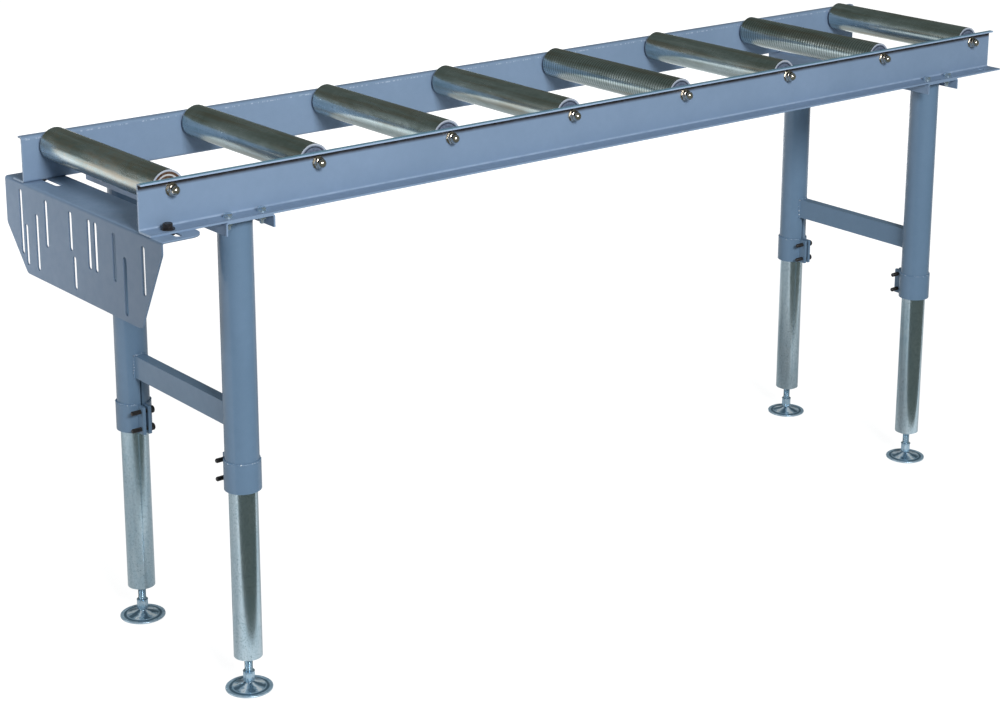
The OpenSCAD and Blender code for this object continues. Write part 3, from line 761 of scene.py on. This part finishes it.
class Glow(Nodes):
    """An empty tree for surfaces that glow."""

    def __init__(self, owner):
        super().__init__(owner)
        self.nodes.clear()

    def emission(self, colour, strength):
        return self.add("Emission", Color=colour, Strength=strength).outputs[0]

    def background(self, colour, strength):
        return self.add("Background", Color=colour, Strength=strength).outputs[0]

    def lit(self, strength, colour):
        """A surface that glows white by itself and adds its share of the lamps' light."""
        pale = self.add("BsdfDiffuse", Color=colour).outputs[0]
        return self.fill(self.add("AddShader"), pale, self.emission(WHITE, strength))

    def either(self, share, off, on):
        return self.fill(self.add("MixShader"), share, off, on)

    def out(self, kind, shader):
        self.add(kind, Surface=shader)


# Stage objects, which stand round the object and aren't part of it

def stage(name, points, faces, material, reflected_only=False):
    mesh = bpy.data.meshes.new(name)
    mesh.from_pydata(points, [], faces)
    mesh.materials.append(material)
    obj = bpy.data.objects.new(name, mesh)
    scene.collection.objects.link(obj)
    if reflected_only:
        obj.visible_camera = obj.visible_diffuse = obj.visible_shadow = obj.visible_transmission = False


# Where the dark floor in front of the table ends, along Y
DARK_EDGE = -0.39


# The floor's brightness in reflections, a painted glow, and the share of it that a painted shadow of the
# table and a darker painted patch to its right leave

def mirror_image(t, from_middle, x, y):
    total = t.plus(t.ramp(y, DARK_EDGE + 0.01, -0.1, 0.62, 0.12), t.ramp(from_middle, 1.5, 2.8, 0.0, 0.75))
    # Painted shadow of the table on the floor's reflected glow
    table_shadow = t.times(t.ramp(x, 0.05, 0.3, 0.0, 0.4), t.ramp(x, 0.8, 0.6))
    dark = t.plus(table_shadow, t.ramp(x, 1.6, 2.0, 0.0, 0.4))
    behind = t.times(t.ramp(y, 0.6, 0.9), t.ramp(x, -0.2, 0.9, 0.65, 1.35))
    share = t.math("MAXIMUM", t.math("SUBTRACT", 1.0, dark), behind)
    return t.times(total, share), share


# Floor: white to the camera, with the object's soft shadow kept on it; in reflections it glows with
# painted light, dimmed by a painted shadow of the table

def floor():
    half, pale = 60.0, 0.6
    material = bpy.data.materials.new("floor_white")
    t = Glow(material)
    place = t.add("TexCoord").outputs["Object"]
    x, y, _ = t.add("SeparateXYZ", Vector=place).outputs
    measure = t.add("VectorMath")
    measure.operation = "LENGTH"
    t.put(measure.inputs[0], place)
    from_middle = measure.outputs["Value"]
    bright, share = mirror_image(t, from_middle, x, y)
    grey = t.times(share, pale)
    plain = t.lit(0.0, (pale, pale, pale, 1))
    # Pure white away from the object, where it hides the horizon
    seen = t.lit(t.ramp(from_middle, 1.3, 2.6, 0.9, 1.0), (0.22, 0.22, 0.22, 1))
    mirrored = t.lit(bright, t.add("CombineColor", Red=grey, Green=grey, Blue=grey).outputs[0])
    ray = t.add("LightPath").outputs
    unseen = t.either(ray["Is Glossy Ray"], plain, mirrored)
    t.out("OutputMaterial", t.either(ray["Is Camera Ray"], unseen, seen))
    corners = [(-half, -half, 0), (half, -half, 0), (half, half, 0), (-half, half, 0)]
    stage("floor", corners, [(0, 1, 2, 3)], material)


# World: white to the camera and to reflections that get past the studio, soft light on all else

def world():
    w = bpy.data.worlds.new("studio")
    scene.world = w
    t = Glow(w)
    ray = t.add("LightPath").outputs
    shown = t.math("MAXIMUM", ray["Is Camera Ray"], ray["Is Glossy Ray"])
    soft = t.background((0.88, 0.97, 1.0, 1), 0.22)
    white = t.background(WHITE, 1.0)
    t.out("OutputWorld", t.either(shown, soft, white))


# The studio's dark walls and the unlit floor in front of the table, which only reflections see

def studio():
    def card(name, points, faces, strength):
        material = bpy.data.materials.new(name)
        t = Glow(material)
        t.out("OutputMaterial", t.emission((0.86, 0.95, 0.84, 1), strength))
        stage(name, points, faces, material, reflected_only=True)

    sides, r, height = 32, 20.0, 16.0
    wall = [(r * math.cos(a), r * math.sin(a), h) for h in (0.0, height) for a in turns(sides)]
    panels = [(k, (k + 1) % sides, sides + (k + 1) % sides, sides + k) for k in range(sides)]
    ceiling = tuple(range(sides, 2 * sides))
    card("studio_walls", wall, panels + [ceiling], 0.14)
    half, z = 30, 0.002
    corners = [(-half, -half, z), (half, -half, z), (half, DARK_EDGE, z), (-half, DARK_EDGE, z)]
    card("dark_floor", corners, [(0, 1, 2, 3)], 0.16)


# A rectangular lamp that is turned to its aim, with its width and height in metres

def lamp(name, place, aim, size, watts):
    light = bpy.data.lights.new(name, "AREA")
    light.shape = "RECTANGLE"
    light.size, light.size_y = size
    light.energy = watts
    obj = bpy.data.objects.new(name, light)
    obj.location = place
    obj.rotation_euler = (Vector(aim) - Vector(place)).to_track_quat("-Z", "Y").to_euler()
    scene.collection.objects.link(obj)
    return obj


# The camera, as it was solved from the photo

CAMERA_PLACE = Vector((-2.5969, -3.0579, 1.7623))
AZIMUTH, ELEVATION, ROLL = (math.radians(a) for a in (-39.801, 15.386, 0.375))
SENSOR_WIDTH = 36.0
LENS = 79.523
SHIFT = (-0.04, -0.15)


def camera():
    level = math.cos(ELEVATION)
    ahead = Vector((-math.sin(AZIMUTH) * level, math.cos(AZIMUTH) * level, -math.sin(ELEVATION)))
    right = Vector((math.cos(AZIMUTH), math.sin(AZIMUTH), 0))
    up = right.cross(ahead)
    side = math.cos(ROLL) * right + math.sin(ROLL) * up
    top = -math.sin(ROLL) * right + math.cos(ROLL) * up
    cam = bpy.data.cameras.new("camera")
    cam.sensor_width = SENSOR_WIDTH
    cam.lens = LENS
    cam.shift_x, cam.shift_y = SHIFT
    cam.clip_end = 200.0
    obj = bpy.data.objects.new("camera", cam)
    obj.matrix_world = Matrix.Translation(CAMERA_PLACE) @ Matrix((side, top, -ahead)).transposed().to_4x4()
    scene.collection.objects.link(obj)
    scene.camera = obj


floor()
world()
studio()
camera()
lamp("key", (-1.6, -5.3, 3.7), (-0.1, -0.1, 0.6), (1.9, 1.5), 325)
lamp("fill", (-4.6, 2.0, 2.2), (-0.5, 0, 0.6), (1.6, 1.6), 56)
# This one lights the object's back, and isn't seen in its reflections
back = lamp("back", (2.4, 4.8, 1.5), (0.1, 0.0, 0.5), (2.4, 1.6), 110)
back.visible_glossy = False
